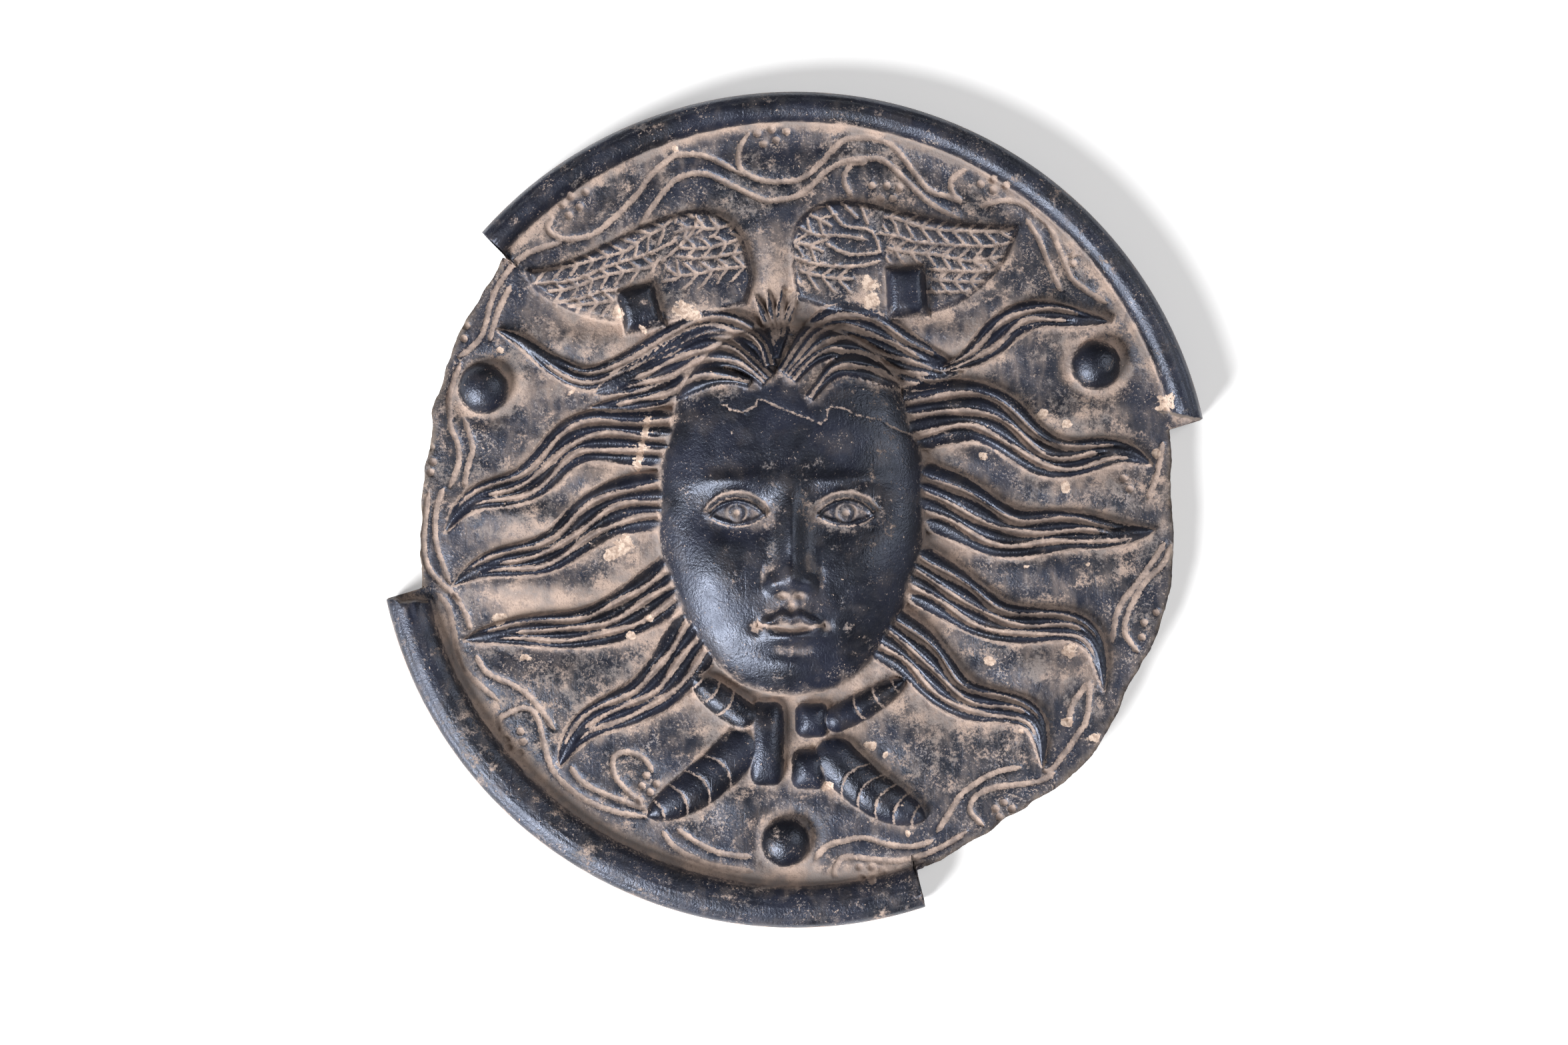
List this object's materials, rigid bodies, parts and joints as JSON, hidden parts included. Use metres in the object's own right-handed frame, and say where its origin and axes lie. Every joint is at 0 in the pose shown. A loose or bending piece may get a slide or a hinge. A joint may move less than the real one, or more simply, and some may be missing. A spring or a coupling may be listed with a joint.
{
  "type": "relief disc",
  "caption": "Round black-slipped clay disc with a winged gorgon's head in relief, its rim broken along both sides, lying on its flat back.",
  "frame": {"origin": "middle of the flat back, at the middle of the disc", "axes": "+Z out of the relief, +Y towards the crown of the head, +X to the right of someone who looks at the face"},
  "size_m": [0.1956, 0.2, 0.0253],
  "materials": {
    "slipped_clay": "satin"
  },
  "bodies": {
    "root": {"gorgon_disc": "slipped_clay"}
  },
  "joints": []
}
